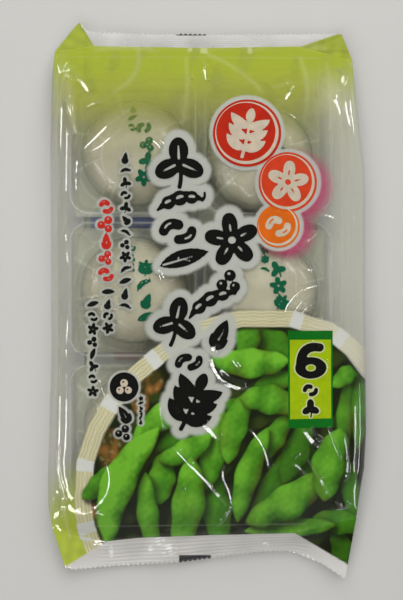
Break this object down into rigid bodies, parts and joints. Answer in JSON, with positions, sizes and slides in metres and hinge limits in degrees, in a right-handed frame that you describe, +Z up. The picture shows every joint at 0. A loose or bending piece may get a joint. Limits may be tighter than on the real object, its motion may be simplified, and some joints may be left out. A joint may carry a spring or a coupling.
{
  "type": "manju pack",
  "caption": "Sealed clear printed pillow pack of wrapped manju in a moulded tray, lying face up, with crimped end seals and folded ears.",
  "frame": {"origin": "centre of the bounding box at the level of the table the pack lies on", "axes": "+Z up, out of the printed front; +Y along the pack towards its top end seal; +X to the right seen from above"},
  "size_m": [0.1526, 0.2666, 0.0324],
  "materials": {
    "film": "glossy clear film with printed colour fields"
  },
  "bodies": {
    "root": {"bag": "film"}
  },
  "joints": []
}
